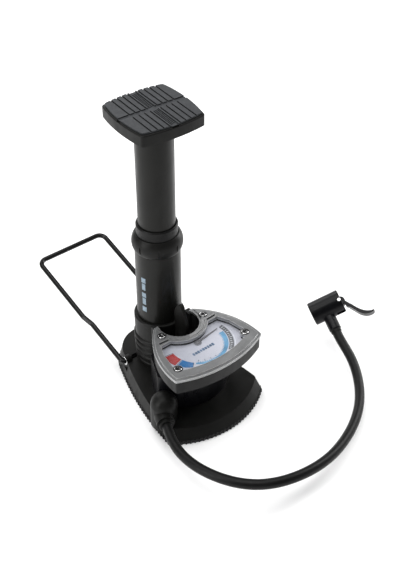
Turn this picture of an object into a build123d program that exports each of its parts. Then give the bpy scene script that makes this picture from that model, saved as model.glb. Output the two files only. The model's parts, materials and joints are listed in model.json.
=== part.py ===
from build123d import *
import math
import os

# Floor pump with a square foot pad, a dial gauge on the foot and a folding wire stirrup.
# Millimetres. Z runs up the barrel's axis from the floor, and the gauge faces -Y.

# Foot: a bowed shield outline with a round heel
SOLE_THICKNESS = 5.0
FOOT_NOSE_Y = -125.7
FOOT_CORNER_Y = -102.0
FOOT_FRONT_HALF = 67.2
FOOT_SIDE_MID = (55.8, -25.0)
FOOT_CORNER_R = 5.0
HEEL_R = 41.0
HEEL_TANGENT_DEG = 14.0
DECK_NOSE_Z = 16.0
DECK_SLOPE = 0.05
SKIRT_TOP_Z = 30.0
SKIRT_SIDE_INSET = 5.8
SKIRT_FRONT_INSET = 14.4
SHELL_WALL = 3.0
TREAD_LUGS = 104
TREAD_LUG_R = 1.0
TREAD_INSET = 0.7
SOLE_SCREWS = ((-50, -92), (50, -92), (-40, 0), (40, 0), (0, 48))

# Wire stirrup
WIRE_R = 3.0
STIRRUP_Y = 15.6
STIRRUP_Z = 22.7
STIRRUP_RISE_DEG = 15.2
STIRRUP_REACH = 172.5
STIRRUP_KINK = 62.0
STIRRUP_NARROW_X = 43.2
STIRRUP_WIDE_X = 46.2
EAR_INNER_X = 33.0
EAR_OUTER_X = 39.4
EAR_R = 5.6
CLIP_R = 5.0

# Barrel and plunger
BARREL_R = 24.75
BARREL_BORE_R = 22.0
BARREL_BOTTOM_Z = 6.0
BARREL_TOP_Z = 188.0
TUBE_R = 20.0
TUBE_BORE_R = 17.6
TUBE_BOTTOM_Z = 147.0
TUBE_TOP_Z = 340.0
PISTON_BOTTOM_Z = 138.0
PISTON_R = 21.8
PISTON_CUP_R = 14.5
PISTON_CUP_TOP_Z = 158.0
VALVE_TOP_Z = 26.0
NECK_R = 27.5
NECK_BEADS = 5
NECK_TOP_Z = 64.0
SLEEVE_TOP_Z = 89.0
SLEEVE_R = 28.5
COLLAR_BOTTOM_Z = 179.0
COLLAR_TOP_Z = 199.0
COLLAR_BULGE_R = 27.5
WIPER_R = 22.4
WIPER_TOP_Z = 211.0
SPRING_WIRE_R = 1.0
SPRING_R = 12.5
SPRING_TURNS = 9

# Foot pad on the plunger
PEDAL_HALF = 36.0
PEDAL_BULGE = 3.75
PEDAL_CORNER_R = 4.0
PEDAL_TWIST_DEG = -3.35
PEDAL_BOTTOM_Z = 331.0
PEDAL_DECK_Z = 343.0
PEDAL_TOP_Z = 345.0
PEDAL_GROOVE_ALONG_Y = 7.5
PEDAL_GROOVE_ALONG_X = 5.0
PEDAL_GROOVE_FLOOR_Z = 343.8
PEDAL_FINE_GROOVES = (6.0, 12.4, 18.8, 25.6)
PEDAL_FINE_WIDTH = 1.8

# Gauge
GAUGE_TOP_Z = 95.0
BEZEL_STEP_Z = 93.8
BEZEL_BOTTOM_Z = 91.2
BEZEL_STEP = 3.0
SKIRT_BOTTOM_Z = 75.0
BOWL_BOTTOM_Z = 62.0
GAUGE_NOSE_Y = -118.5
GAUGE_CORNER = (58.6, -105.0)
GAUGE_SIDE_MID = (51.3, -60.0)
GAUGE_REAR = (26.5, -25.5)
POCKET_Y = -34.0
POCKET_R = 23.1
POCKET_FLOOR_Z = 66.0
POCKET_GROOVE_R = 28.2
WINDOW_BACK_R = 31.8
DIAL_Y = -68.0
DIAL_FLOOR_Z = 86.5
DIAL_THICKNESS = 1.0
NEEDLE_Z = 88.1
LENS_BOTTOM_Z = 89.5
LENS_TOP_Z = 93.2
STEM_Y = -70.0
MOVEMENT_Y = -74.5
MOVEMENT_R = 11.0
NEEDLE_REST_DEG = 8.0
NEEDLE_LENGTH = 31.0
BEZEL_SCREWS = ((-28.4, -41.6), (28.4, -41.6), (-45.8, -92.4), (45.8, -92.4))
SCREW_BOSS_R = 5.4
SCREW_SEAT_Z = 93.0

# Hub under the gauge
HUB_ARC_R = 58.0
HUB_ARC_Y = -32.0
HUB_HALF = 50.0
HUB_WALL = 2.5

# Hose: it leaves the boot level and ends inside the head's stem
HOSE_R = 5.5
HOSE_BORE_R = 3.0
HOSE_Z = 26.5
BOOT_CENTRE = (-54.0, -77.0)
BOOT_R = 15.0
BOOT_DOME_Z = 35.5
ELBOW_CORNER = Vector(-56.1, -73.0, HOSE_Z)
HOSE_EXIT = Vector(-0.38, -0.925, 0).normalized()
HOSE_VIA = (
    (-75.5, -123.0, 26),
    (-73.5, -178.0, 29),
    (-47.0, -220.5, 31.5),
    (6.0, -237.5, 26.5),
    (81.0, -222.0, 14),
    (125.5, -197.0, 12),
    (152.5, -168.5, 16.5),
    (165.5, -142.0, 24.5),
)

# Pump head: local X runs from the valve mouth to the lever, local -Y down the hose stem
HEAD = Plane(origin=(180.8, -82.7, 49.0), x_dir=(0.815, -0.411, 0.409), z_dir=(-0.525, -0.225, 0.821))
HEAD_R = 14.0
MOUTH_X = -17.5
HEAD_REAR_X = 21.0
STEM_R = 7.2
STEM_END_Y = -30.0
HOSE_END_Y = -20.0
VALVE_R = 4.1
LEVER_PIN = (18.9, -2.4)
PIN_R = 1.9
SLOT_HALF = 4.0
CAM_R = 5.8
CAM_OFFSET = 1.2
CAM_OFFSET_DEG = 70.0
LEVER_TOP_EDGE = ((23.0, -1.2), (29.3, -10.4), (36.8, -21.5), (41.3, -25.5), (50.7, -28.5))
LEVER_LOW_EDGE = ((49.6, -29.9), (40.6, -29.7), (36.2, -27.0), (29.5, -18.1), (23.3, -9.5))

FIT = 0.05
RUNNING = 0.08


def turned(*corners):
    """Solid of revolution about Z from the closed (radius, height) corners of its half section."""
    return revolve(Plane.XZ * make_face(Polyline(*corners, close=True)), Axis.Z)


def rod(radius, low, high, x=0.0, y=0.0):
    """Upright cylinder between two heights."""
    upright = (Align.CENTER, Align.CENTER, Align.MIN)
    return Pos(x, y, low) * Cylinder(radius, high - low, align=upright)


def plate(face, low, high):
    """A flat face drawn at z = 0, thickened between two heights."""
    return Pos(0, 0, low) * extrude(face, high - low)


def rod_between(start, end, radius):
    """Cylinder from one point to another."""
    span = Vector(*end) - Vector(*start)
    upright = (Align.CENTER, Align.CENTER, Align.MIN)
    return Plane(origin=start, z_dir=span) * Cylinder(radius, span.length, align=upright)


def mirrored(point):
    return (-point[0], point[1])


def deck_plane(drop=0.0):
    """The sloped top of the foot, or a plane that much lower."""
    height = DECK_NOSE_Z - FOOT_NOSE_Y * DECK_SLOPE
    return Plane(origin=(0, 0, height - drop), z_dir=(0, -DECK_SLOPE, 1))


def below_deck(drop=0.0):
    """Everything under the foot's sloped top."""
    return deck_plane(drop) * Box(400, 400, 80, align=(Align.CENTER, Align.CENTER, Align.MAX))


def foot_face(side, front):
    """Foot outline, drawn in by one amount at the sides and heel and another at the bowed front."""
    turn = math.radians(HEEL_TANGENT_DEG)
    radius = HEEL_R - side
    heel = (radius * math.cos(turn), STIRRUP_Y + radius * math.sin(turn))
    corner = (FOOT_FRONT_HALF - side, FOOT_CORNER_Y + front)
    side_mid = (FOOT_SIDE_MID[0] - side, FOOT_SIDE_MID[1])
    edges = [
        ThreePointArc(heel, (0, STIRRUP_Y + radius), mirrored(heel)),
        ThreePointArc(mirrored(heel), mirrored(side_mid), mirrored(corner)),
        ThreePointArc(mirrored(corner), (0, FOOT_NOSE_Y + front), corner),
        ThreePointArc(corner, side_mid, heel),
    ]
    face = make_face(edges)
    return fillet(face.vertices().sort_by(Axis.Y)[:2], FOOT_CORNER_R)


def foot_block(wall=0.0):
    """Solid flared foot between the sole and the height where its skirt would end."""
    low = Pos(0, 0, SOLE_THICKNESS) * foot_face(1 + wall, 1 + wall)
    top = Pos(0, 0, SKIRT_TOP_Z) * foot_face(1 + wall + SKIRT_SIDE_INSET, 1 + wall + SKIRT_FRONT_INSET)
    return loft([low, top], ruled=True)


def make_base_sole():
    """Rubber sole with a lugged edge and cross grooves underneath."""
    face = foot_face(TREAD_INSET, TREAD_INSET)
    edge = face.face().outer_wire()
    lug = Circle(TREAD_LUG_R)
    lugs = [Pos(*edge.position_at(i / TREAD_LUGS)) * lug for i in range(TREAD_LUGS)]
    sole = plate(face, 0, SOLE_THICKNESS) + extrude(Sketch() + lugs, SOLE_THICKNESS - 0.6)
    for step in range(-8, 4):
        sole -= Pos(0, 12.0 * step - 6, 0) * Box(70, 3, 2.4)
    for x, y in SOLE_SCREWS:
        sole -= rod(1.7, 0, SOLE_THICKNESS, x, y) + rod(3.3, 0, 2.0, x, y)
    return sole


def make_sole_screws():
    """Screws that hold the sole and the shell together from below."""
    return [rod(3.2, 0.5, 1.9, x, y) + rod(1.6, 1.9, 11.5, x, y) for x, y in SOLE_SCREWS]


def make_base_shell():
    """Moulded foot: flared skirt, sloping deck, screw posts and the two ears of the stirrup."""
    shell = foot_block() & below_deck()
    heel_blocks = [Pos(side * 50, 32, 15) * Box(28, 54, 40) for side in (-1, 1)]
    shell -= (foot_block(SHELL_WALL) & below_deck(SHELL_WALL)) - heel_blocks
    for side in (-1, 1):
        shell -= Pos(side * (EAR_OUTER_X + 0.1 + 10), 38, 12.5 + 10) * Box(20, 60, 20)
        ear = Pos(side * (EAR_INNER_X + EAR_OUTER_X) / 2, STIRRUP_Y, 0)
        width = EAR_OUTER_X - EAR_INNER_X
        shell += ear * Pos(0, 0, STIRRUP_Z) * Rot(0, 90, 0) * Cylinder(EAR_R, width)
        shell += ear * Pos(0, 0, STIRRUP_Z - 5) * Box(width, 2 * EAR_R, 10)
    shell -= Pos(0, STIRRUP_Y, STIRRUP_Z) * Rot(0, 90, 0) * Cylinder(WIRE_R + RUNNING, 80.0)
    for x, y in SOLE_SCREWS:
        shell += rod(3.6, SOLE_THICKNESS, 30, x, y) & below_deck(1)
        shell -= rod(1.65, SOLE_THICKNESS, 12, x, y)
    shell -= rod(NECK_R + FIT, 0, 40)
    shell -= rod(9.0, 0, 40, 0, STEM_Y)
    return shell - rod_between(ELBOW_CORNER + HOSE_EXIT * 5, ELBOW_CORNER + HOSE_EXIT * 30, 8.3)


def wire_path():
    """Centre line of the stirrup, in its own leaning plane."""
    corners = [
        (-31.0, 0),
        (-STIRRUP_NARROW_X, 0),
        (-STIRRUP_NARROW_X, STIRRUP_KINK),
        (-STIRRUP_WIDE_X, STIRRUP_KINK + 14),
        (-STIRRUP_WIDE_X, STIRRUP_REACH),
    ]
    corners += [mirrored(point) for point in reversed(corners)]
    radii = [3.3, 14.0, 14.0, 9.0]
    wire = Wire.make_polygon([Vector(*point) for point in corners], close=False)
    for corner, radius in zip(corners[1:5], radii):
        for point in (corner, mirrored(corner)):
            nearest = wire.vertices().sort_by_distance(Vector(*point))[0]
            wire = wire.fillet_2d(radius, [nearest])
    leaning = Plane(origin=(0, STIRRUP_Y, STIRRUP_Z), x_dir=(1, 0, 0), z_dir=stirrup_normal())
    return leaning.from_local_coords(wire)


def stirrup_normal():
    rise = math.radians(STIRRUP_RISE_DEG)
    return (0, -math.sin(rise), math.cos(rise))


def make_wire_stirrup():
    path = wire_path()
    start = Plane(origin=path @ 0, z_dir=path % 0)
    return sweep(start * Circle(WIRE_R), path=path)


def make_stirrup_clips():
    """Push-on washers between the wire's bends and the ears."""
    clips = []
    for side in (-1, 1):
        at = Pos(side * (EAR_OUTER_X + 0.7), STIRRUP_Y, STIRRUP_Z) * Rot(0, 90, 0)
        clips.append(at * (Cylinder(CLIP_R, 1.0) - Cylinder(WIRE_R + 0.01, 1.0)))
    return clips


def make_ribbed_neck():
    """Ribbed collar that carries the barrel on the foot."""
    neck = turned((BARREL_R + FIT, 5.5), (NECK_R, 5.5), (NECK_R, NECK_TOP_Z), (BARREL_R + FIT, NECK_TOP_Z))
    for i in range(NECK_BEADS):
        ring = Torus(26.6 - 0.35 * i, 3.1)
        neck += Pos(0, 0, 60.2 - 8.1 * i) * (ring - rod(BARREL_R + FIT, -9, 9))
    return neck - air_way(2.6)


def make_barrel_sleeve():
    """Smooth socket at the foot of the barrel, with a rounded top rim."""
    inner = BARREL_R + FIT
    low = NECK_TOP_Z + FIT
    sleeve = turned((inner, low), (SLEEVE_R - 0.4, low), (SLEEVE_R, SLEEVE_TOP_Z), (inner, SLEEVE_TOP_Z))
    return fillet(sleeve.edges().filter_by(GeomType.CIRCLE).sort_by(SortBy.RADIUS)[-1], 1.8)


def air_way(radius):
    """Straight passage forward from the valve block to the manifold, inside the foot."""
    return rod_between((0, -15, 12), (0, -62, 12), radius)


def make_barrel():
    wall = rod(BARREL_R, BARREL_BOTTOM_Z, BARREL_TOP_Z) - rod(BARREL_BORE_R, BARREL_BOTTOM_Z, BARREL_TOP_Z)
    return wall - air_way(2.6)


def make_collar_nut():
    """Bulging cap nut that holds the wiper on the barrel, with grip notches round its lower half."""
    low = (25.3, COLLAR_BOTTOM_Z)
    high = (23.4, COLLAR_TOP_Z)
    bulge = ThreePointArc(low, (COLLAR_BULGE_R, 190.0), high)
    step = Polyline(high, (22.5, COLLAR_TOP_Z), (22.5, 190.6), (BARREL_R + FIT, 190.6))
    back = Polyline((BARREL_R + FIT, 190.6), (BARREL_R + FIT, COLLAR_BOTTOM_Z), low)
    nut = revolve(Plane.XZ * make_face([bulge, *step.edges(), *back.edges()]), Axis.Z)
    for i in range(8):
        nut -= Rot(0, 0, 45.0 * i + 12) * Pos(COLLAR_BULGE_R, 0, 187.5) * Box(1.8, 1.6, 8)
    return nut


def make_wiper_ring():
    """Rubber wiper: a flange under the nut and a lip that wipes the tube."""
    return turned(
        (TUBE_R + 0.1, BARREL_TOP_Z + FIT),
        (BARREL_R - 0.15, BARREL_TOP_Z + FIT),
        (BARREL_R - 0.15, 190.5),
        (WIPER_R, 190.5),
        (WIPER_R, WIPER_TOP_Z - 1.2),
        (WIPER_R - 1.0, WIPER_TOP_Z),
        (TUBE_R + 0.6, WIPER_TOP_Z),
        (TUBE_R + 0.1, WIPER_TOP_Z - 1.5),
    )


def make_guide_bush():
    """Plain bush in the top of the barrel. The plunger slides in it and turns with it."""
    return rod(BARREL_BORE_R - FIT, 162, 187.9) - rod(TUBE_R + RUNNING, 162, 187.9)


def make_plunger_tube():
    return rod(TUBE_R, TUBE_BOTTOM_Z, TUBE_TOP_Z) - rod(TUBE_BORE_R, TUBE_BOTTOM_Z, TUBE_TOP_Z)


def make_piston():
    """Piston with a seal groove, a spigot in the tube and a cup for the return spring."""
    spigot = TUBE_BORE_R - FIT
    return turned(
        (0, PISTON_CUP_TOP_Z),
        (PISTON_CUP_R, PISTON_CUP_TOP_Z),
        (PISTON_CUP_R, PISTON_BOTTOM_Z),
        (PISTON_R, PISTON_BOTTOM_Z),
        (PISTON_R, 141.2),
        (18.4, 141.2),
        (18.4, 144.8),
        (PISTON_R, 144.8),
        (PISTON_R, TUBE_BOTTOM_Z),
        (spigot, TUBE_BOTTOM_Z),
        (spigot, PISTON_CUP_TOP_Z + 4),
        (0, PISTON_CUP_TOP_Z + 4),
    )


def make_piston_seal():
    return Pos(0, 0, 143) * Torus(20.2, 1.7)


def coil(radius, wire, low, high, turns):
    """Compression spring between two heights."""
    rise = high - low - 2 * wire - 0.2
    path = Pos(0, 0, low + wire + 0.1) * Helix(pitch=rise / turns, height=rise, radius=radius)
    return sweep(Plane(origin=path @ 0, z_dir=path % 0) * Circle(wire), path=path, is_frenet=True)


def make_return_spring():
    return coil(SPRING_R, SPRING_WIRE_R, VALVE_TOP_Z, PISTON_CUP_TOP_Z, SPRING_TURNS)


def make_valve_block():
    """Plug in the foot of the barrel, with the check valve's seat, chamber and side port."""
    block = rod(BARREL_BORE_R - FIT, BARREL_BOTTOM_Z, VALVE_TOP_Z)
    block -= rod(2.0, 18, 27)
    block -= rod(3.5, 9, 19)
    block -= rod_between((0, 0, 12), (0, -16, 12), 1.5)
    return block - air_way(2.5)


def make_check_ball():
    return Pos(0, 0, 17) * Sphere(2.8)


def make_check_spring():
    return coil(2.3, 0.3, 9, 15, 5)


def make_air_pipe():
    return air_way(2.5) - air_way(1.5)


def elbow_path():
    """From the manifold across the hub, then a bend into the line of the hose."""
    start = Vector(-5.5, ELBOW_CORNER.Y, HOSE_Z)
    end = ELBOW_CORNER + HOSE_EXIT * 15
    wire = Wire.make_polygon([start, ELBOW_CORNER, end], close=False)
    return wire.fillet_2d(5.0, [wire.vertices().sort_by_distance(ELBOW_CORNER)[0]])


def along(path, radius):
    return sweep(Plane(origin=path @ 0, z_dir=path % 0) * Circle(radius), path=path)


def make_hose_elbow():
    path = elbow_path()
    return along(path, HOSE_BORE_R - FIT) - along(path, 1.6)


def make_manifold():
    """Joins the barrel's air pipe, the gauge stem and the hose elbow."""
    block = rod(8.0, 7.5, 34, 0, STEM_Y) - rod(2.0, 10, 34, 0, STEM_Y)
    block -= air_way(2.5)
    return block - along(elbow_path(), HOSE_BORE_R - FIT)


def make_gauge_stem():
    return rod(3.0, 34 + FIT, 66, 0, STEM_Y) - rod(1.4, 34 + FIT, 66, 0, STEM_Y)


def hub_face(wall=0.0):
    """Crescent outline of the hub: a round front, and a hollow back that clears the neck."""
    radius = HUB_ARC_R - wall
    half = HUB_HALF - wall
    front = (half, HUB_ARC_Y - math.sqrt(radius**2 - half**2))
    rear = (36.0 - wall, -30.0 - wall)
    hollow = (22.0 - wall, -24.0 - 2 * wall)
    edges = [
        ThreePointArc(mirrored(front), (0, HUB_ARC_Y - radius), front),
        Line(front, rear),
        Line(rear, hollow),
        ThreePointArc(hollow, (0, -32.5 - wall), mirrored(hollow)),
        Line(mirrored(hollow), mirrored(rear)),
        Line(mirrored(rear), mirrored(front)),
    ]
    return make_face(edges)


def hub_block():
    return plate(hub_face(), 10, BOWL_BOTTOM_Z - FIT) - below_deck()


def make_hub_housing():
    """Hollow pedestal between the foot and the gauge."""
    hub = hub_block() - plate(hub_face(HUB_WALL), 10, BOWL_BOTTOM_Z - 3)
    hub -= rod(3.2, 50, 70, 0, STEM_Y)
    return hub - along(elbow_path(), 3.4)


def gauge_face(inset=0.0):
    """Shield outline of the gauge, hollow at the back round the pocket."""
    corner = (GAUGE_CORNER[0] - inset, GAUGE_CORNER[1] + 0.6 * inset)
    side = (GAUGE_SIDE_MID[0] - inset, GAUGE_SIDE_MID[1])
    rear = (GAUGE_REAR[0], GAUGE_REAR[1] - inset)
    radius = POCKET_R + inset
    depth = GAUGE_REAR[1] - inset
    inner = (math.sqrt(radius**2 - (depth - POCKET_Y) ** 2), depth)
    edges = [
        ThreePointArc(mirrored(corner), (0, GAUGE_NOSE_Y + inset), corner),
        ThreePointArc(corner, side, rear),
        Line(rear, inner),
        ThreePointArc(inner, (0, POCKET_Y - radius), mirrored(inner)),
        Line(mirrored(inner), mirrored(rear)),
        ThreePointArc(mirrored(rear), mirrored(side), mirrored(corner)),
    ]
    face = make_face(edges)
    return fillet(face.vertices().sort_by(Axis.Y)[:2], 2.5)


def bowl_face(inset):
    """Plain shield for the tapering underside of the gauge."""
    corner = (GAUGE_CORNER[0] - inset, GAUGE_CORNER[1] + inset)
    side = (GAUGE_SIDE_MID[0] - inset, GAUGE_SIDE_MID[1])
    rear = (30.0 - 0.3 * inset, -26.0)
    edges = [
        ThreePointArc(mirrored(corner), (0, GAUGE_NOSE_Y + inset), corner),
        ThreePointArc(corner, side, rear),
        Line(rear, mirrored(rear)),
        ThreePointArc(mirrored(rear), mirrored(side), mirrored(corner)),
    ]
    return make_face(edges)


def window_face(margin=0.0):
    """Window outline: bowed front, hollowed round the screws, back edge concentric with the pocket."""
    side = [(42.0, -97.2), (48.3, -88.0), (44.6, -66.5), (38.6, -53.9), (25.4, -53.9)]
    other = [mirrored(point) for point in reversed(side)]
    edges = [
        ThreePointArc(other[-1], (0, -105.0), side[0]),
        *Polyline(*side).edges(),
        ThreePointArc(side[-1], (0, POCKET_Y - WINDOW_BACK_R), other[0]),
        *Polyline(*other).edges(),
    ]
    face = make_face(edges)
    if margin != 0:
        face = offset(face, margin, kind=Kind.INTERSECTION)
    for x, y in BEZEL_SCREWS[2:]:
        face -= Pos(x, y) * Circle(SCREW_BOSS_R - margin)
    return face


def make_gauge_housing():
    """Black housing: a straight skirt over a tapering bowl, with a recess for the dial."""
    bowl = loft([Pos(0, 0, BOWL_BOTTOM_Z) * bowl_face(15), Pos(0, 0, SKIRT_BOTTOM_Z) * bowl_face(3)], ruled=True)
    bowl -= rod(POCKET_R + 1.2, POCKET_FLOOR_Z, GAUGE_TOP_Z, 0, POCKET_Y) + rod(30.5, 50, 80)
    housing = plate(gauge_face(1.2), SKIRT_BOTTOM_Z, BEZEL_BOTTOM_Z - FIT) + bowl
    for side in (-1, 1):
        lug = Pos(side * 23.0, -24.0, (POCKET_FLOOR_Z + BEZEL_BOTTOM_Z) / 2)
        housing += lug * Box(6.5, 9.0, BEZEL_BOTTOM_Z - POCKET_FLOOR_Z - 0.4)
    housing -= rod(SLEEVE_R + 0.1, SKIRT_BOTTOM_Z - 20, GAUGE_TOP_Z)
    housing -= plate(window_face(1.5), DIAL_FLOOR_Z, BEZEL_BOTTOM_Z)
    housing -= rod(MOVEMENT_R + 0.3, POCKET_FLOOR_Z, DIAL_FLOOR_Z + 1, 0, MOVEMENT_Y)
    housing -= rod(3.1, 60, 70, 0, STEM_Y)
    for x, y in BEZEL_SCREWS:
        housing -= rod(1.6, 80, BEZEL_BOTTOM_Z, x, y)
    return housing


def make_gauge_bezel():
    """Silver frame in two steps, with the window, two slots, a groove and four screw seats."""
    bezel = plate(gauge_face(), BEZEL_BOTTOM_Z, BEZEL_STEP_Z)
    bezel += plate(gauge_face(BEZEL_STEP), BEZEL_STEP_Z, GAUGE_TOP_Z)
    bezel -= plate(window_face(), BEZEL_BOTTOM_Z, GAUGE_TOP_Z)
    groove = Pos(0, POCKET_Y) * (Circle(POCKET_GROOVE_R + 1.0) - Circle(POCKET_GROOVE_R))
    groove -= Pos(0, -9) * Rectangle(90, 80)
    bezel -= plate(groove, BEZEL_STEP_Z - 0.6, GAUGE_TOP_Z)
    for side in (-1, 1):
        slot = Pos(side * 32.4, -50.6, GAUGE_TOP_Z) * Rot(0, 0, side * 3)
        bezel -= slot * Box(12.5, 2.6, 12)
    for x, y in BEZEL_SCREWS:
        bezel -= rod(1.7, BEZEL_BOTTOM_Z, GAUGE_TOP_Z, x, y)
        bezel -= rod(4.2, SCREW_SEAT_Z, GAUGE_TOP_Z, x, y)
    return bezel


def make_bezel_screws():
    """Bright pan-head screws with a hexagon socket."""
    screws = []
    for x, y in BEZEL_SCREWS:
        head = rod(4.0, SCREW_SEAT_Z + FIT, GAUGE_TOP_Z + 0.7, x, y)
        head = fillet(head.edges().group_by(Axis.Z)[-1], 0.8)
        socket = Pos(x, y, GAUGE_TOP_Z - 0.6) * extrude(RegularPolygon(2.1, 6), 2)
        screws.append(head + rod(1.5, 83, SCREW_SEAT_Z + FIT, x, y) - socket)
    return screws


def make_gauge_lens():
    """Clear window with a flange under the bezel."""
    flange_top = BEZEL_BOTTOM_Z - 0.1
    flange = plate(window_face(1.3), LENS_BOTTOM_Z, flange_top)
    return flange + plate(window_face(-0.15), flange_top, LENS_TOP_Z)


def make_gauge_dial():
    card = plate(window_face(1.3), DIAL_FLOOR_Z, DIAL_FLOOR_Z + DIAL_THICKNESS)
    return card - rod(1.6, 80, 90, 0, DIAL_Y)


def make_gauge_movement():
    """Pressure capsule under the dial, with a bearing for the needle's spindle."""
    top = DIAL_FLOOR_Z - 0.5
    return rod(MOVEMENT_R, POCKET_FLOOR_Z + 0.1, top, 0, MOVEMENT_Y) - rod(1.27, 80, top, 0, DIAL_Y)


def make_gauge_needle():
    """Needle, hub and spindle in one piece."""
    tip = NEEDLE_LENGTH
    blade = make_face(Polyline((-2.5, -1.3), (-2.5, 1.3), (tip, 0.35), (tip, -0.35), close=True))
    needle = extrude(blade, 0.6) + rod(3.0, 0, 1.0)
    placed = Pos(0, DIAL_Y, NEEDLE_Z) * Rot(0, 0, NEEDLE_REST_DEG) * needle
    return placed + rod(1.2, 81, NEEDLE_Z + 0.5, 0, DIAL_Y)


def make_head_clip():
    """Fin that stands in the pocket behind the gauge, where the pump head parks."""
    foot = POCKET_FLOOR_Z + FIT
    leaf = Spline((-30.6, 100.0), (-31.2, 112.0), (-38.3, 121.6), (-46.0, 112.5), (-50.0, 96.0))
    base = Polyline((-50.0, 96.0), (-50.5, foot), (-30.6, foot), (-30.6, 100.0))
    side = make_face([leaf, *base.edges()])
    return extrude(Plane.YZ * side, 2.0, both=True)


def make_hose_boot():
    """Domed fairing on the corner of the foot that turns the hose out of the hub."""
    x, y = BOOT_CENTRE
    boot = rod(BOOT_R, 8, BOOT_DOME_Z, x, y) + Pos(x, y, BOOT_DOME_Z) * Sphere(BOOT_R)
    gland = ELBOW_CORNER + HOSE_EXIT * 23
    boot += rod_between(ELBOW_CORNER + HOSE_EXIT * 5, gland, 10.0)
    boot -= hub_block()
    boot -= foot_block() & below_deck()
    boot -= rod_between(ELBOW_CORNER + HOSE_EXIT * 17, gland + HOSE_EXIT, 8.05)
    boot -= rod_between(ELBOW_CORNER + HOSE_EXIT * 5.5, gland, HOSE_R + FIT)
    return (boot - along(elbow_path(), 3.4)).solids().sort_by(SortBy.VOLUME)[-1]


def make_hose_ferrule():
    """Gland nut that grips the hose at the boot."""
    start = ELBOW_CORNER + HOSE_EXIT * 17.1
    end = ELBOW_CORNER + HOSE_EXIT * 27
    nut = fillet(rod_between(start, end, 8.0).edges().filter_by(GeomType.CIRCLE), 1.2)
    return nut - rod_between(start - HOSE_EXIT, end + HOSE_EXIT, HOSE_R + FIT)


def hose_path():
    """Straight out of the boot, a wide loop in front of the foot, straight into the head's stem."""
    start = ELBOW_CORNER + HOSE_EXIT * 7
    leave = ELBOW_CORNER + HOSE_EXIT * 28
    arrive = HEAD.from_local_coords(Vector(0, STEM_END_Y - 6, 0))
    end = HEAD.from_local_coords(Vector(0, HOSE_END_Y, 0))
    directions = (HOSE_EXIT, (end - arrive).normalized())
    run = Spline(leave, *HOSE_VIA, arrive, tangents=directions, tangent_scalars=(1, 1))
    return Wire([Line(start, leave), run, Line(arrive, end)])


def make_hose():
    path = hose_path()
    section = Plane(origin=path @ 0, z_dir=path % 0) * (Circle(HOSE_R) - Circle(HOSE_BORE_R))
    return sweep(section, path=path)


def head_rod(radius, low, high):
    """Cylinder on the head's own axis, in head coordinates."""
    return rod_between((low, 0, 0), (high, 0, 0), radius)


def cam_pin(radius, half):
    """Cylinder on the lever's pivot, in head coordinates."""
    return Pos(*LEVER_PIN, 0) * Cylinder(radius, 2 * half)


def make_head_body():
    """Round body with a stem for the hose and a slot for the lever."""
    body = head_rod(HEAD_R, MOUTH_X, HEAD_REAR_X)
    body = fillet(body.edges().filter_by(GeomType.CIRCLE), 1.6)
    stem = rod_between((0, -8, 0), (0, STEM_END_Y, 0), STEM_R)
    body += fillet(stem.edges().filter_by(GeomType.CIRCLE).sort_by(Axis.Y)[0], 1.4)
    body -= head_rod(10.0, MOUTH_X - 1, -14)
    body -= head_rod(8.05, -15, 3)
    body -= head_rod(3.1, 0, 12)
    body -= Pos(20, 0, 0) * Box(20, 30, 2 * SLOT_HALF)
    body -= cam_pin(PIN_R, 15)
    body -= rod_between((0, -4, 0), (0, STEM_END_Y, 0), 2.0)
    body -= rod_between((0, HOSE_END_Y + FIT, 0), (0, STEM_END_Y - 1, 0), HOSE_R + FIT)
    return HEAD * body


def make_head_collar():
    """Crimp ring on the hose at the end of the stem."""
    ring = rod_between((0, STEM_END_Y - FIT, 0), (0, STEM_END_Y - 3, 0), 6.3)
    return HEAD * (ring - rod_between((0, -29, 0), (0, -40, 0), HOSE_R + FIT))


def make_head_cap():
    """Nut that closes the mouth round the tyre valve."""
    return HEAD * (head_rod(9.95, MOUTH_X + 0.3, -14.05) - head_rod(4.7, MOUTH_X, -14))


def make_head_gasket():
    return HEAD * (head_rod(8.0, -14, -2.2) - head_rod(VALVE_R, -14, -2.2))


def make_head_pusher():
    """Pusher that the lever's cam drives against the gasket."""
    pusher = head_rod(7.9, -0.6, 2.6) + head_rod(3.0, 2, 13.2)
    return HEAD * (pusher - head_rod(1.5, -1, 2) - rod_between((1, 0, 0), (1, -8, 0), 1.0))


def make_head_lever():
    """Thumb lever with an eccentric cam in the body's slot."""
    turn = math.radians(CAM_OFFSET_DEG)
    cam = Pos(LEVER_PIN[0] + CAM_OFFSET * math.cos(turn), LEVER_PIN[1] + CAM_OFFSET * math.sin(turn), 0)
    lever = cam * Cylinder(CAM_R, 2 * SLOT_HALF - 0.4)
    top = Spline(*LEVER_TOP_EDGE)
    low = Spline(*LEVER_LOW_EDGE)
    arm = make_face([top, Line(top @ 1, low @ 0), low, Line(low @ 1, top @ 0)])
    lever += extrude(arm, SLOT_HALF - 0.2, both=True)
    lever += extrude(arm, 5.5, both=True) - cam_pin(12.5, 8)
    return HEAD * (lever - cam_pin(PIN_R + RUNNING, 8))


def make_lever_pin():
    return HEAD * cam_pin(PIN_R, HEAD_R - 0.1)


def pedal_face(inset=0.0):
    """Square pad outline with bowed sides."""
    half = PEDAL_HALF - inset
    mid = half + PEDAL_BULGE
    corner = (half, half)
    quarter = ThreePointArc(corner, (0, mid), mirrored(corner))
    edges = [Rot(0, 0, 90 * i) * quarter for i in range(4)]
    face = make_face([edge for turned_edge in edges for edge in turned_edge.edges()])
    return fillet(face.vertices(), PEDAL_CORNER_R)


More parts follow.
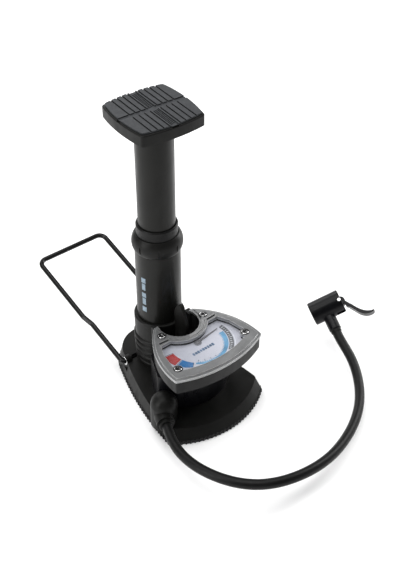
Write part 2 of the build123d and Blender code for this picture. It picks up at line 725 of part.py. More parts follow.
def make_pedal_tray():
    """Hollow tray under the pad, notched where the pad's grooves run out."""
    tray = plate(pedal_face(), PEDAL_BOTTOM_Z, PEDAL_DECK_Z)
    tray = fillet(tray.edges().group_by(Axis.Z)[-1], 1.4)
    tray -= plate(pedal_face(2.6), PEDAL_BOTTOM_Z, TUBE_TOP_Z)
    tray += rod(22.6, PEDAL_BOTTOM_Z, TUBE_TOP_Z)
    tray -= rod(TUBE_R + FIT, PEDAL_BOTTOM_Z, TUBE_TOP_Z)
    tray -= rod(2.1, PEDAL_BOTTOM_Z - 1, PEDAL_DECK_Z) + rod(4.3, PEDAL_DECK_Z - 2, PEDAL_DECK_Z)
    for side in (-1, 1):
        reach = side * (PEDAL_HALF + PEDAL_BULGE)
        tray -= Pos(0, reach, PEDAL_DECK_Z) * Box(PEDAL_GROOVE_ALONG_Y, 4.5, 2.4)
        tray -= Pos(reach, 0, PEDAL_DECK_Z) * Box(4.5, PEDAL_GROOVE_ALONG_X, 2.4)
    return Rot(0, 0, PEDAL_TWIST_DEG) * tray


def make_pedal_pad():
    """Rubber pad: four raised quarters with fine grooves, and a cross of wide grooves."""
    pad = plate(pedal_face(2.0), PEDAL_DECK_Z + 0.01, PEDAL_TOP_Z)
    floor = Pos(0, 0, PEDAL_GROOVE_FLOOR_Z + 2)
    pad -= floor * Box(PEDAL_GROOVE_ALONG_Y, 90, 4)
    pad -= floor * Box(90, PEDAL_GROOVE_ALONG_X, 4)
    for x in PEDAL_FINE_GROOVES:
        for side in (-1, 1):
            pad -= floor * Pos(side * x, 0, 0) * Box(PEDAL_FINE_WIDTH, 90, 4)
    return Rot(0, 0, PEDAL_TWIST_DEG) * pad


def make_tube_plug():
    """Plug in the top of the tube that the pad is screwed to."""
    return rod(TUBE_BORE_R - FIT, 322, TUBE_TOP_Z - FIT) - rod(2.0, 322, TUBE_TOP_Z)


def make_pedal_screw():
    under_head = PEDAL_DECK_Z - 1.95
    return rod(1.95, 325, under_head) + rod(4.2, under_head, PEDAL_DECK_Z - 0.1)


NODES = {
    "base_sole": make_base_sole,
    "sole_screws": make_sole_screws,
    "base_shell": make_base_shell,
    "wire_stirrup": make_wire_stirrup,
    "stirrup_clips": make_stirrup_clips,
    "ribbed_neck": make_ribbed_neck,
    "barrel_sleeve": make_barrel_sleeve,
    "barrel": make_barrel,
    "collar_nut": make_collar_nut,
    "wiper_ring": make_wiper_ring,
    "guide_bush": make_guide_bush,
    "plunger_tube": make_plunger_tube,
    "piston": make_piston,
    "piston_seal": make_piston_seal,
    "return_spring": make_return_spring,
    "valve_block": make_valve_block,
    "check_ball": make_check_ball,
    "check_spring": make_check_spring,
    "air_pipe": make_air_pipe,
    "manifold": make_manifold,
    "gauge_stem": make_gauge_stem,
    "hub_housing": make_hub_housing,
    "gauge_housing": make_gauge_housing,
    "gauge_bezel": make_gauge_bezel,
    "bezel_screws": make_bezel_screws,
    "gauge_lens": make_gauge_lens,
    "gauge_dial": make_gauge_dial,
    "gauge_movement": make_gauge_movement,
    "gauge_needle": make_gauge_needle,
    "head_clip": make_head_clip,
    "hose_elbow": make_hose_elbow,
    "hose_boot": make_hose_boot,
    "hose_ferrule": make_hose_ferrule,
    "hose": make_hose,
    "head_body": make_head_body,
    "head_collar": make_head_collar,
    "head_cap": make_head_cap,
    "head_gasket": make_head_gasket,
    "head_pusher": make_head_pusher,
    "head_lever": make_head_lever,
    "lever_pin": make_lever_pin,
    "pedal_tray": make_pedal_tray,
    "pedal_pad": make_pedal_pad,
    "tube_plug": make_tube_plug,
    "pedal_screw": make_pedal_screw,
}

os.makedirs("parts", exist_ok=True)
for name, make in NODES.items():
    made = make()
    solids = [s for piece in made for s in piece.solids()] if isinstance(made, list) else made.solids()
    export_step(Compound(children=solids) if len(solids) > 1 else solids[0], f"parts/{name}.step")
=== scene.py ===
import json
import math

import bmesh
import bpy
from mathutils import Matrix, Vector


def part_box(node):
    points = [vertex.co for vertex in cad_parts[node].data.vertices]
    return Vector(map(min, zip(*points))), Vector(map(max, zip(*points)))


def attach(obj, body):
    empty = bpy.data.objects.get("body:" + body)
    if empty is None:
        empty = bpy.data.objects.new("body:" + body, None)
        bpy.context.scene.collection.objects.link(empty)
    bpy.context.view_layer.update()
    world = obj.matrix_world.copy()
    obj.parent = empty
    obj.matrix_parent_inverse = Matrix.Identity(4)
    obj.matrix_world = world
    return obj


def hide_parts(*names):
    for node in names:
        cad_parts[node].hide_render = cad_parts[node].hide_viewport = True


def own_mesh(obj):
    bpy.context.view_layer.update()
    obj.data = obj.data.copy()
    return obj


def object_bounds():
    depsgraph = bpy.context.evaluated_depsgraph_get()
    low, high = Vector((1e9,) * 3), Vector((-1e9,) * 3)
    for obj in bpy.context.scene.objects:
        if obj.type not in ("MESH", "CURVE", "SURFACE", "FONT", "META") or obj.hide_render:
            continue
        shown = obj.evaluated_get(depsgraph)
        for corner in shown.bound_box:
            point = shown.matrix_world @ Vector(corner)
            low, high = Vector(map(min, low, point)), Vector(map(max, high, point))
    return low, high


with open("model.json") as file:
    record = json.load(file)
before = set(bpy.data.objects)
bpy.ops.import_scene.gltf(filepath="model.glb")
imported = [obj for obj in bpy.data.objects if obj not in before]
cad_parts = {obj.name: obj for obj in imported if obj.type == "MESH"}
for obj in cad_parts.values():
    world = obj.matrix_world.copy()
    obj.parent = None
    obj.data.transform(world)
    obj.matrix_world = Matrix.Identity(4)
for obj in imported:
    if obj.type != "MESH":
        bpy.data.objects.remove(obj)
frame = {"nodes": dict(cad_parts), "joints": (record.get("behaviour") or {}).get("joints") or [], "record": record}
cad_low, cad_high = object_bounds()
MM = 0.001

# Places that several pieces share, in metres, from the frame
barrel_low, barrel_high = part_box("barrel")
BARREL_RADIUS = (barrel_high.x - barrel_low.x) / 2
NEEDLE_JOINT = next(j for j in frame["joints"] if j["name"] == "needle_turn")
DIAL_CENTRE = Vector(NEEDLE_JOINT["pos_m"])
DIAL_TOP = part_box("gauge_dial")[1].z
PAD_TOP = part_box("pedal_pad")[1].z
PAD_TWIST = math.radians(-3.35)


# ---------------------------------------------------------------- materials

class Shader:
    """A node material under construction, around one Principled BSDF."""

    def __init__(self, name):
        self.material = bpy.data.materials.new(name)
        self.material.use_nodes = True
        self.nodes = self.material.node_tree.nodes
        self.links = self.material.node_tree.links
        self.surface = self.nodes["Principled BSDF"]
        self.place = self.add("ShaderNodeTexCoord").outputs["Object"]

    def add(self, kind, inputs=None, **settings):
        node = self.nodes.new(kind)
        for key, value in settings.items():
            setattr(node, key, value)
        for key, value in (inputs or {}).items():
            self.feed(node.inputs[key], value)
        return node

    def feed(self, socket, value):
        """Links a socket to another node's output, or sets it to a plain value."""
        if isinstance(value, bpy.types.NodeSocket):
            self.links.new(value, socket)
        else:
            socket.default_value = value

    def put(self, **values):
        for key, value in values.items():
            self.feed(self.surface.inputs[key.replace("_", " ")], value)

    def noise(self, size, detail=3.0, stretch=(1, 1, 1)):
        """Noise with features of about that size in metres, stretched along the axes."""
        place = self.add("ShaderNodeMapping", {"Vector": self.place, "Scale": stretch})
        settings = {"Vector": place.outputs[0], "Scale": 1 / size, "Detail": detail}
        return self.add("ShaderNodeTexNoise", settings).outputs["Fac"]

    def between(self, factor, low, high, start=0.0, end=1.0):
        """A number that runs from low to high as the factor runs from start to end."""
        settings = {"Value": factor, "From Min": start, "From Max": end, "To Min": low, "To Max": high}
        return self.add("ShaderNodeMapRange", settings).outputs["Result"]

    def mix(self, factor, first, second):
        """Colour mix."""
        node = self.add("ShaderNodeMix", data_type="RGBA")
        self.feed(node.inputs["Factor"], factor)
        self.feed(node.inputs["A"], first)
        self.feed(node.inputs["B"], second)
        return node.outputs["Result"]

    def edges(self, radius):
        """About 1 on convex and concave edges narrower than the radius, and 0 on flat faces."""
        rounded = self.add("ShaderNodeBevel", {"Radius": radius}, samples=6)
        flat = self.add("ShaderNodeNewGeometry").outputs["Normal"]
        likeness = self.add("ShaderNodeVectorMath", operation="DOT_PRODUCT")
        self.links.new(rounded.outputs[0], likeness.inputs[0])
        self.links.new(flat, likeness.inputs[1])
        return self.between(likeness.outputs["Value"], 1.0, 0.0, 0.80, 0.985)

    def open_share(self, reach):
        """About 1 on open faces and 0 down in grooves narrower than the reach; used as the mask for painted shade
        in grooves.
        """
        cavity = self.add("ShaderNodeAmbientOcclusion", {"Distance": reach}, samples=6)
        return self.between(cavity.outputs["AO"], 0.0, 1.0, 0.35, 0.85)

    def bump(self, *layers):
        """Stacks (height, depth in metres) layers into one normal."""
        normal = None
        for height, depth in layers:
            settings = {"Height": height, "Strength": 1.0, "Distance": depth}
            node = self.add("ShaderNodeBump", settings)
            if normal:
                self.links.new(normal, node.inputs["Normal"])
            normal = node.outputs["Normal"]
        self.put(Normal=normal)


def grey(value, tint=(0, 0, 0)):
    return (value + tint[0], value + tint[1], value + tint[2], 1)


def moulded(name, colour, roughness, grain=0.5 * MM, depth=0.02 * MM, wear=0.3, coat=0.0, shine=0.17):
    """Moulded plastic: spark-eroded grain, slow colour drift, handling smears and lighter edges where it rubs."""
    s = Shader(name)
    drift = s.noise(35 * MM, 4)
    smear = s.noise(9 * MM, 5, (1, 1, 0.35))
    fine = s.noise(grain, 2)
    dark = tuple(0.78 * c for c in colour[:3]) + (1,)
    light = tuple(min(1, 1.25 * c) for c in colour[:3]) + (1,)
    body = s.mix(s.between(drift, 0, 1, 0.3, 0.7), dark, light)
    edge_wear_and_highlight = tuple(min(1, 2.4 * c + 0.02) for c in colour[:3]) + (1,)
    scuffs = s.noise(1.6 * MM, 6)
    edge = s.add("ShaderNodeMath", operation="MULTIPLY")
    s.feed(edge.inputs[0], s.edges(0.45 * MM))
    s.feed(edge.inputs[1], s.between(scuffs, 0.1 * wear, wear, 0.35, 0.65))
    s.put(Base_Color=s.mix(edge.outputs[0], body, edge_wear_and_highlight))
    s.put(Roughness=s.between(smear, roughness - 0.07, roughness + 0.09, 0.3, 0.7))
    s.put(IOR=1.5, Specular_IOR_Level=shine, Coat_Weight=coat, Coat_Roughness=0.15)
    s.bump((fine, depth), (s.noise(14 * MM, 2), 0.08 * MM))
    return s.material


def rubber(name, colour, roughness, grain=0.7 * MM, depth=0.03 * MM, dust=0.2, shine=0.2):
    """Rubber: dull pitted skin, greyer where it rubs, painted shade darkening its grooves, with a trace of dust.
    """
    s = Shader(name)
    pits = s.add("ShaderNodeTexVoronoi", {"Vector": s.place, "Scale": 1 / grain}).outputs["Distance"]
    patch = s.between(s.noise(7 * MM, 6), 0, dust, 0.45, 0.75)
    dusty = tuple(1.7 * c + 0.006 for c in colour[:3]) + (1,)
    body = s.mix(patch, colour, dusty)
    worn = s.between(s.edges(0.5 * MM), 0, 0.45)
    edge_wear_and_highlight = s.mix(worn, body, tuple(1.9 * c + 0.01 for c in colour[:3]) + (1,))
    # Painted shade: the ambient-occlusion mask turns the colour to a dark copy down in grooves.
    shaded = tuple(0.12 * c for c in colour[:3]) + (1,)
    s.put(Base_Color=s.mix(s.open_share(2.5 * MM), shaded, edge_wear_and_highlight))
    s.put(Roughness=s.between(s.noise(3 * MM, 4), roughness - 0.08, roughness + 0.08, 0.3, 0.7))
    s.put(Sheen_Weight=0.03, Sheen_Roughness=0.4, IOR=1.48, Specular_IOR_Level=shine)
    s.bump((pits, depth), (s.noise(2.2 * MM, 3), 0.05 * MM))
    return s.material


def metal(name, colour, roughness, brushed=(1, 1, 1), flake=0.0):
    """Bare or plated metal with a brushed or tumbled surface and duller stains."""
    s = Shader(name)
    lines = s.noise(0.35 * MM, 3, brushed)
    stain = s.noise(6 * MM, 5)
    tarnish = tuple(0.62 * c for c in colour[:3]) + (1,)
    s.put(Base_Color=s.mix(s.between(stain, 0, 0.5, 0.5, 0.8), colour, tarnish))
    s.put(Metallic=1.0)
    s.put(Roughness=s.between(lines, roughness * 0.7, roughness * 1.4, 0.3, 0.7))
    s.bump((lines, (0.006 + flake) * MM), (stain, 0.02 * MM))
    return s.material


def silver_paint(name):
    """Metallic silver paint over plastic: fine flakes under a satin clear coat."""
    s = Shader(name)
    flakes = s.add("ShaderNodeTexVoronoi", {"Vector": s.place, "Scale": 1 / (0.18 * MM)})
    sparkle = s.between(flakes.outputs["Color"], 0.0, 1.0)
    drift = s.between(s.noise(22 * MM, 3), 0, 1, 0.3, 0.7)
    body = s.mix(drift, grey(0.24, (0, 0.004, 0.008)), grey(0.31, (0, 0.004, 0.008)))
    glint = s.mix(s.between(sparkle, 0, 0.3, 0.6, 1.0), body, grey(0.5))
    # Painted highlight: edges and corners are mixed nearly to white, standing in for light caught on the chamfers.
    edge_wear_and_highlight = s.between(s.edges(0.8 * MM), 0, 0.95)
    s.put(Base_Color=s.mix(edge_wear_and_highlight, glint, grey(0.95)))
    s.put(Metallic=0.72, Roughness=s.between(s.noise(4 * MM, 4), 0.30, 0.42, 0.3, 0.7))
    s.put(Coat_Weight=0.25, Coat_Roughness=0.2)
    s.bump((flakes.outputs["Distance"], 0.008 * MM), (s.noise(1.2 * MM, 2), 0.02 * MM))
    return s.material


def clear_window(name):
    """Thin clear window: mostly see-through, brighter at a glancing angle through a painted reflection, with hair
    scratches.
    """
    s = Shader(name)
    glance = s.add("ShaderNodeLayerWeight", {"Blend": 0.35}).outputs["Facing"]
    scratches = s.noise(0.5 * MM, 4, (1, 0.04, 1))
    haze = s.between(s.noise(12 * MM, 4), 0.0, 0.035, 0.3, 0.7)
    # Painted reflection: the pale base colour grows more opaque at a glancing angle.
    alpha = s.add("ShaderNodeMath", operation="ADD", use_clamp=True)
    s.feed(alpha.inputs[0], haze)
    s.feed(alpha.inputs[1], s.between(glance, 0.0, 0.3, 0.5, 1.0))
    s.put(Base_Color=(0.86, 0.89, 0.93, 1), Roughness=s.between(scratches, 0.03, 0.12, 0.4, 0.7))
    s.put(Alpha=alpha.outputs[0], IOR=1.49)
    s.bump((scratches, 0.004 * MM))
    return s.material


def ink(name, colour, shift=0.12):
    """Printed ink: dot screen, uneven density and a slight ridge."""
    s = Shader(name)
    dots = s.add("ShaderNodeTexVoronoi", {"Vector": s.place, "Scale": 1 / (0.35 * MM)}).outputs["Distance"]
    dense = s.between(s.noise(5 * MM, 4), 0, 1, 0.3, 0.7)
    low = tuple(c * (1 - shift) for c in colour[:3]) + (1,)
    high = tuple(min(1, c * (1 + shift)) for c in colour[:3]) + (1,)
    printed = s.mix(dense, low, high)
    pale = tuple(0.85 * c + 0.02 for c in colour[:3]) + (1,)
    screen = s.between(dots, 0.0, 0.3, 0.25, 0.6)
    s.put(Base_Color=s.mix(screen, printed, pale))
    s.put(Roughness=s.between(dense, 0.32, 0.46))
    s.bump((dots, 0.004 * MM), (s.noise(0.8 * MM, 2), 0.006 * MM))
    return s.material


def dial_face(name):
    """Pale lavender card with painted shade towards its left back corner."""
    s = Shader(name)
    grain = s.noise(0.4 * MM, 3)
    axes = s.add("ShaderNodeSeparateXYZ", {"Vector": s.place})
    # Painted shade: the card is darker towards negative X.
    side = s.between(axes.outputs["X"], 0, 1, -0.035, 0.015)
    shade = s.mix(side, (0.30, 0.31, 0.36, 1), (0.43, 0.44, 0.50, 1))
    blot = s.between(s.noise(9 * MM, 3), 0, 0.25, 0.35, 0.75)
    s.put(Base_Color=s.mix(blot, shade, (0.50, 0.51, 0.56, 1)))
    s.put(Roughness=s.between(grain, 0.4, 0.55, 0.3, 0.7))
    s.bump((grain, 0.008 * MM))
    return s.material


def wire_paint(name):
    """Glossy dip paint on steel wire, with long runs and a few bright chips."""
    s = Shader(name)
    chips = s.between(s.noise(0.9 * MM, 5), 0, 1, 0.70, 0.74)
    paint = s.mix(s.noise(12 * MM), grey(0.003), grey(0.006))
    s.put(Base_Color=s.mix(s.between(chips, 0, 0.35), paint, grey(0.28)))
    s.put(Metallic=s.between(chips, 0, 0.6))
    s.put(Roughness=s.between(s.noise(5 * MM, 4), 0.16, 0.3, 0.3, 0.7))
    s.put(Specular_IOR_Level=0.2, Coat_Weight=0.12, Coat_Roughness=0.1)
    s.bump((s.noise(3 * MM, 3), 0.03 * MM), (s.noise(0.5 * MM, 2), 0.004 * MM))
    return s.material


MATERIALS = {
    "black_plastic": moulded("black_plastic", grey(0.005, (0.0005, 0.0005, 0)), 0.42),
    "gloss_black": moulded(
        "gloss_black", grey(0.003, (0, 0, 0.001)), 0.30, depth=0.002 * MM, wear=0.15, coat=0.08
    ),
    "grey_plastic": moulded("grey_plastic", grey(0.013), 0.42),
    "silver_plastic": silver_paint("silver_plastic"),
    "rubber": rubber("rubber", grey(0.004), 0.42),
    "pad_rubber": rubber("pad_rubber", grey(0.032, (0, 0.002, 0.005)), 0.6, dust=0.3, shine=0.2),
    "painted_tube": moulded(
        "painted_tube", grey(0.005, (0.0008, 0.0008, 0)), 0.34, 0.3 * MM, 0.004 * MM, 0.25, 0.05
    ),
    "painted_wire": wire_paint("painted_wire"),
    "steel": metal("steel", grey(0.55), 0.34),
    "chrome": metal("chrome", grey(0.78), 0.14),
    "brass": metal("brass", (0.72, 0.53, 0.24, 1), 0.3),
    "clear": clear_window("clear"),
    "dial_print": dial_face("dial_print"),
    "needle_paint": ink("needle_paint", (0.10, 0.10, 0.11, 1)),
    "white_plastic": moulded("white_plastic", grey(0.62, (0.02, 0.01, -0.02)), 0.45, wear=0.1),
}
INKS = {
    "red": ink("red_ink", (0.27, 0.004, 0.004, 1)),
    "blue": ink("blue_ink", (0.008, 0.10, 0.27, 1)),
    "light_blue": ink("light_blue_ink", (0.08, 0.24, 0.40, 1), 0.3),
    "band_grey": ink("grey_ink", (0.09, 0.095, 0.105, 1)),
    "bar_blue": ink("bar_ink", (0.05, 0.10, 0.18, 1), 0.35),
    "mark": ink("mark_ink", (0.05, 0.07, 0.10, 1)),
    "white": ink("white_ink", (0.60, 0.62, 0.66, 1)),
    "badge": ink("badge_ink", (0.20, 0.27, 0.33, 1), 0.25),
    "shadow": ink("shadow_ink", (0.006, 0.006, 0.007, 1)),
}


# ---------------------------------------------------------------- CAD nodes

def dress(node, material, bevel=0.0, segments=2):
    """Gives a CAD node its material, welded seams, rounded edges and smooth shading."""
    part = frame["nodes"][node]
    part.data.materials.clear()
    part.data.materials.append(material)
    if "custom_normal" in part.data.attributes:
        part.data.attributes.remove(part.data.attributes["custom_normal"])
    part.data.shade_smooth()
    weld = part.modifiers.new("weld", "WELD")
    weld.merge_threshold = 0.002 * MM
    if bevel:
        rounding = part.modifiers.new("rounding", "BEVEL")
        rounding.width = bevel
        rounding.segments = segments
        rounding.limit_method = "ANGLE"
        rounding.angle_limit = math.radians(32)
        rounding.harden_normals = True
    facing = part.modifiers.new("facing", "WEIGHTED_NORMAL")
    facing.keep_sharp = True


for entry in frame["record"]["subparts"]:
    dress(entry["node"], MATERIALS[entry["material_slot"]], 0.25 * MM)


# ---------------------------------------------------------------- printed and fitted details

def piece(name, mesh, body, material):
    """A finished mesh as a piece that rides on a body."""
    bmesh.ops.recalc_face_normals(mesh, faces=mesh.faces)
    data = bpy.data.meshes.new(name)
    mesh.to_mesh(data)
    mesh.free()
    data.materials.append(material)
    thing = bpy.data.objects.new(name, data)
    bpy.context.scene.collection.objects.link(thing)
    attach(thing, body)
    return thing


def slab(mesh, outline, low, high):
    """Closed prism over an outline of (x, y) points in metres, between two heights."""
    base = [mesh.verts.new((x, y, low)) for x, y in outline]
    top = [mesh.verts.new((x, y, high)) for x, y in outline]
    count = len(outline)
    mesh.faces.new(base[::-1])
    mesh.faces.new(top)
    for i in range(count):
        j = (i + 1) % count
        mesh.faces.new((base[i], base[j], top[j], top[i]))


def dial_point(radius, degrees):
    """A point on the dial, by radius in mm and angle about the needle's spindle."""
    turn = math.radians(degrees)
    x = DIAL_CENTRE.x + radius * MM * math.cos(turn)
    return (x, DIAL_CENTRE.y + radius * MM * math.sin(turn))


def sector(mesh, inner, outer, start, end, height=0.0, steps=24):
    """Ring segment on the dial. Inner and outer are radii in mm, or functions of the share of the way."""
    shares = [i / steps for i in range(steps + 1)]
    inside = inner if callable(inner) else lambda share: inner
    outside = outer if callable(outer) else lambda share: outer
    far = [dial_point(outside(t), start + (end - start) * t) for t in shares]
    near = [dial_point(inside(t), start + (end - start) * t) for t in reversed(shares)]
    low = DIAL_TOP + (0.02 + height) * MM
    slab(mesh, far + near, low, low + 0.12 * MM)


def bar(mesh, centre, size, degrees=0.0, low=None, thick=0.12 * MM):
    """Small rounded bar lying flat. The centre and size are in mm."""
    turn = math.radians(degrees)
    half_x, half_y = size[0] / 2, size[1] / 2
    cut = min(half_x, half_y) * 0.4
    corners = []
    for sx, sy in ((1, 1), (-1, 1), (-1, -1), (1, -1)):
        pair = [(sx * half_x, sy * (half_y - cut)), (sx * (half_x - cut), sy * half_y)]
        corners += pair if sx * sy > 0 else pair[::-1]
    outline = []
    for x, y in corners:
        across = centre[0] + x * math.cos(turn) - y * math.sin(turn)
        along = centre[1] + x * math.sin(turn) + y * math.cos(turn)
        outline.append((across * MM, along * MM))
    start = DIAL_TOP + 0.02 * MM if low is None else low
    slab(mesh, outline, start, start + thick)


def ring(mesh, centre, inner, outer, low, high, steps=40):
    """Flat washer about a point, all in metres."""
    rows = []
    for radius, height in ((inner, low), (outer, low), (outer, high), (inner, high)):
        row = []
        for i in range(steps):
            turn = 2 * math.pi * i / steps
            spot = (centre[0] + radius * math.cos(turn), centre[1] + radius * math.sin(turn), height)
            row.append(mesh.verts.new(spot))
        rows.append(row)
    for first, second in zip(rows, rows[1:] + rows[:1]):
        for i in range(steps):
            j = (i + 1) % steps
            mesh.faces.new((first[i], first[j], second[j], second[i]))


def dial_print():
    """Generic scale: red and blue zones, a pale blue band, a grey ring with white ticks, and a plain bar."""
    mesh = bmesh.new()
    sector(mesh, 31, 42.5, 174, 197)
    piece("dial_red_zone", mesh, "frame", INKS["red"])

    mesh = bmesh.new()
    sector(mesh, 31, lambda share: 42.5 - 4.5 * share, 200, 224)
    piece("dial_blue_zone", mesh, "frame", INKS["blue"])

    mesh = bmesh.new()
    sector(mesh, lambda share: 28.0 + 2.6 * share, lambda share: 33.4 - 0.4 * share, -4, -132, steps=60)
    for i in range(26):
        angle = -7 - 4.8 * i
        sector(mesh, 26.6 + 2.6 * i / 26, 28.0 + 2.6 * i / 26, angle, angle - 1.6, steps=2)
    piece("dial_pale_band", mesh, "frame", INKS["light_blue"])

    mesh = bmesh.new()
    sector(mesh, 34.2, 39.2, 9, -55, steps=40)
    piece("dial_grey_ring", mesh, "frame", INKS["band_grey"])

    mesh = bmesh.new()
    for i in range(13):
        angle = 5 - 4.7 * i
        sector(mesh, 35.4, 37.4 if i % 3 else 38.4, angle, angle - 1.0, 0.13, steps=2)
    sector(mesh, 40.4, 41.0, 12, -46, steps=30)
    piece("dial_white_marks", mesh, "frame", INKS["white"])

    mesh = bmesh.new()
    for angle in (-84, -98, -112, -126):
        sector(mesh, 26.4, 28.6, angle, angle - 1.4, steps=2)
    for angle in (-136, 199.0, 173.0):
        sector(mesh, 30.8, 42.2 if angle > 0 else 37.0, angle, angle - 0.8, steps=2)
    piece("dial_dark_marks", mesh, "frame", INKS["mark"])

    mesh = bmesh.new()
    for i in range(9):
        wide = 2.7 if i % 3 else 2.1
        bar(mesh, (-14.6 + 3.25 * i, -79.6), (wide, 3.4 if i % 2 else 4.0))
    piece("dial_plain_bars", mesh, "frame", INKS["bar_blue"])

    mesh = bmesh.new()
    spot = (DIAL_CENTRE.x, DIAL_CENTRE.y)
    ring(mesh, spot, 3.4 * MM, 4.2 * MM, DIAL_TOP + 0.02 * MM, DIAL_TOP + 0.2 * MM)
    piece("dial_pivot_ring", mesh, "frame", INKS["band_grey"])


SCREW_SPOTS = ((-28.4, -41.6), (28.4, -41.6), (-45.8, -92.4), (45.8, -92.4))
SLOT_SPOTS = ((-32.4, -50.6, -3), (32.4, -50.6, 3))


def bezel_details():
    """Painted shade: dark sheets on the floors of the screw sockets, dark rings round the screws where their seams
    fall in shade, and dark sheets on the floors of the two slots.
    """
    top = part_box("gauge_bezel")[1].z
    # Painted shade: dark rings round the screws and dark discs down in their sockets.
    mesh = bmesh.new()
    for x, y in SCREW_SPOTS:
        spot = (x * MM, y * MM)
        ring(mesh, spot, 4.05 * MM, 5.0 * MM, top + 0.01 * MM, top + 0.10 * MM)
        ring(mesh, spot, 0.2 * MM, 1.8 * MM, top - 0.55 * MM, top - 0.2 * MM, 6)
    piece("screw_painted_shade", mesh, "frame", INKS["shadow"])
    mesh = bmesh.new()
    # Painted shade: dark sheets on the floors of the slots.
    for x, y, degrees in SLOT_SPOTS:
        bar(mesh, (x, y), (12.3, 2.4), degrees, top - 2.6 * MM, 0.6 * MM)
    piece("slot_painted_shade", mesh, "frame", INKS["shadow"])


def wrapped_patch(mesh, degrees, width, low, high, inner, outer, steps=6):
    """Patch that follows the barrel, from its middle angle, width along the wall, heights and radii."""
    spread = width / inner
    rows = []
    for radius in (inner, outer):
        for height in (low, high):
            row = []
            for i in range(steps + 1):
                turn = math.radians(degrees) + spread * (i / steps - 0.5)
                row.append(mesh.verts.new((radius * math.cos(turn), radius * math.sin(turn), height)))
            rows.append(row)
    order = [rows[0], rows[1], rows[3], rows[2]]
    for first, second in zip(order, order[1:] + order[:1]):
        for i in range(steps):
            mesh.faces.new((first[i], first[i + 1], second[i + 1], second[i]))
    for i in (0, steps):
        mesh.faces.new([row[i] for row in order])


def barrel_details():
    """Plain pale bars up the barrel's side, and the faint seam of its sleeve."""
    mesh = bmesh.new()
    skin = BARREL_RADIUS - 0.05 * MM
    for i, height in enumerate((6.4, 8.6, 6.0, 8.6, 6.4)):
        low = (104 + 9.9 * i) * MM
        wide = (4.6 if i % 2 else 5.6) * MM
        wrapped_patch(mesh, -167, wide, low, low + height * MM, skin, BARREL_RADIUS + 0.15 * MM)
    piece("barrel_plain_bars", mesh, "frame", INKS["badge"])
    mesh = bmesh.new()
    wrapped_patch(mesh, -117, 0.5 * MM, 90 * MM, 178 * MM, skin, BARREL_RADIUS + 0.12 * MM, 2)
    piece("barrel_seam", mesh, "frame", MATERIALS["black_plastic"])


def pad_details():
    """Small cross ribs in the pad's wide groove."""
    floor = PAD_TOP - 1.25 * MM
    mesh = bmesh.new()
    cosine, sine = math.cos(PAD_TWIST), math.sin(PAD_TWIST)
    for i in range(31):
        along = -33.0 + 2.2 * i
        if abs(along) < 3:
            continue
        middle = (-along * sine, along * cosine)
        bar(mesh, middle, (5.2, 0.9), math.degrees(PAD_TWIST) + 18, floor, 0.75 * MM)
    piece("pad_groove_ribs", mesh, "plunger", MATERIALS["pad_rubber"])


def spring(node, wire, turns, sides=10, per_turn=28):
    """Coil in place of a CAD spring that shortens as its joint moves; this coil is built once at the CAD spring's
    length and rides on the frame. Sizes are in metres.
    """
    low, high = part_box(node)
    radius = (high.x - low.x) / 2 - wire
    rise = high.z - low.z - 2 * wire
    mesh = bmesh.new()
    loops = []
    for i in range(turns * per_turn + 1):
        turn = 2 * math.pi * i / per_turn
        height = low.z + wire + rise * i / (turns * per_turn)
        loop = []
        for k in range(sides):
            round_wire = 2 * math.pi * k / sides
            reach = radius + wire * math.cos(round_wire)
            spot = (reach * math.cos(turn), reach * math.sin(turn), height + wire * math.sin(round_wire))
            loop.append(mesh.verts.new(spot))
        loops.append(loop)
    for first, second in zip(loops, loops[1:]):
        for k in range(sides):
            j = (k + 1) % sides
            mesh.faces.new((first[k], first[j], second[j], second[k]))
    mesh.faces.new(loops[0][::-1])
    mesh.faces.new(loops[-1])
    thing = piece(node + "_coil", mesh, "frame", MATERIALS["steel"])
    thing.data.shade_smooth()
    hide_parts(node)
    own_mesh(thing)


spring("return_spring", 1.0 * MM, 9)
spring("check_spring", 0.3 * MM, 5)
dial_print()
bezel_details()
barrel_details()
pad_details()


# ---------------------------------------------------------------- studio

def flat_sheet(name, size, height):
    """Floor: one large flat square."""
    mesh = bmesh.new()
    bmesh.ops.create_grid(mesh, x_segments=8, y_segments=8, size=size)
    data = bpy.data.meshes.new(name)
    mesh.to_mesh(data)
    mesh.free()
    sheet = bpy.data.objects.new(name, data)
    sheet.location.z = height
    bpy.context.scene.collection.objects.link(sheet)
    return sheet


def floor_material():
    s = Shader("floor_paper")
    s.put(Base_Color=s.mix(s.noise(0.4), grey(0.88), grey(0.90)), Roughness=0.75)
    s.put(Specular_IOR_Level=0.2)
    s.bump((s.noise(0.8 * MM), 0.01 * MM))
    return s.material


def soft_light(name, place, aim, size, power, colour=(1, 1, 1)):
    lamp = bpy.data.lights.new(name, "AREA")
    lamp.shape = "RECTANGLE"
    lamp.size, lamp.size_y = size
    lamp.energy = power
    lamp.color = colour
    holder = bpy.data.objects.new(name, lamp)
    holder.location = place
    holder.rotation_euler = (Vector(aim) - Vector(place)).to_track_quat("-Z", "Y").to_euler()
    bpy.context.scene.collection.objects.link(holder)


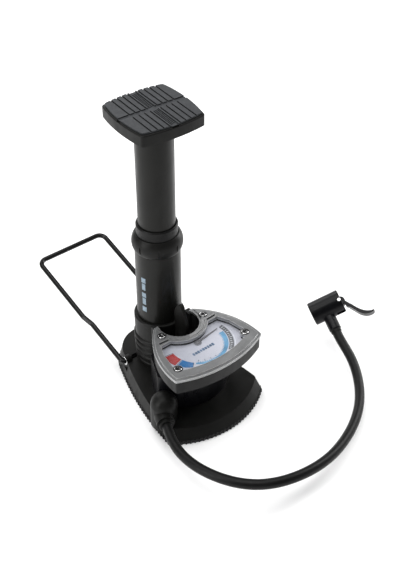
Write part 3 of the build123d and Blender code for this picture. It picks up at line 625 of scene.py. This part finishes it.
def studio():
    floor = flat_sheet("floor", 6.0, cad_low.z - 0.0002)
    floor.data.materials.append(floor_material())
    world = bpy.data.worlds.new("studio")
    bpy.context.scene.world = world
    world.use_nodes = True
    background = world.node_tree.nodes["Background"]
    background.inputs["Color"].default_value = (1, 1, 1, 1)
    tree = world.node_tree
    ray = tree.nodes.new("ShaderNodeLightPath")
    strength = tree.nodes.new("ShaderNodeMapRange")
    strength.inputs["To Min"].default_value = 0.62
    strength.inputs["To Max"].default_value = 0.07
    tree.links.new(ray.outputs["Is Glossy Ray"], strength.inputs["Value"])
    seen = tree.nodes.new("ShaderNodeMath")
    seen.operation = "MAXIMUM"
    tree.links.new(strength.outputs["Result"], seen.inputs[0])
    tree.links.new(ray.outputs["Is Camera Ray"], seen.inputs[1])
    tree.links.new(seen.outputs[0], background.inputs["Strength"])
    middle = (0, 0, 0.15)
    soft_light("overhead", (-0.1, 0.1, 1.5), middle, (1.4, 1.4), 16)
    soft_light("left_bank", (-1.3, 0.1, 0.7), middle, (0.5, 1.2), 10)
    soft_light("right_bank", (1.1, -0.1, 0.6), middle, (0.4, 1.2), 9)
    soft_light("back_bank", (0.3, 1.4, 0.9), middle, (1.4, 0.6), 10)
    bpy.context.scene.view_settings.view_transform = "Standard"


CAMERA_PLACE = Vector((-0.5097, -0.7046, 0.8408))
CAMERA_AZIMUTH = math.radians(-39.36)
CAMERA_ELEVATION = math.radians(39.67)
CAMERA_ROLL = math.radians(0.32)
CAMERA_LENS = 64.27


def camera():
    """The photograph's viewpoint, given by its place, azimuth, elevation and roll."""
    level = math.cos(CAMERA_ELEVATION)
    ahead = (-math.sin(CAMERA_AZIMUTH) * level, math.cos(CAMERA_AZIMUTH) * level)
    sight = Vector((*ahead, -math.sin(CAMERA_ELEVATION)))
    data = bpy.data.cameras.new("camera")
    data.lens = CAMERA_LENS
    data.sensor_width = 36
    data.clip_start = 0.01
    view = bpy.data.objects.new("camera", data)
    turn = sight.to_track_quat("-Z", "Y").to_matrix() @ Matrix.Rotation(CAMERA_ROLL, 3, "Z")
    view.matrix_world = Matrix.Translation(CAMERA_PLACE) @ turn.to_4x4()
    bpy.context.scene.collection.objects.link(view)
    bpy.context.scene.camera = view


studio()
camera()
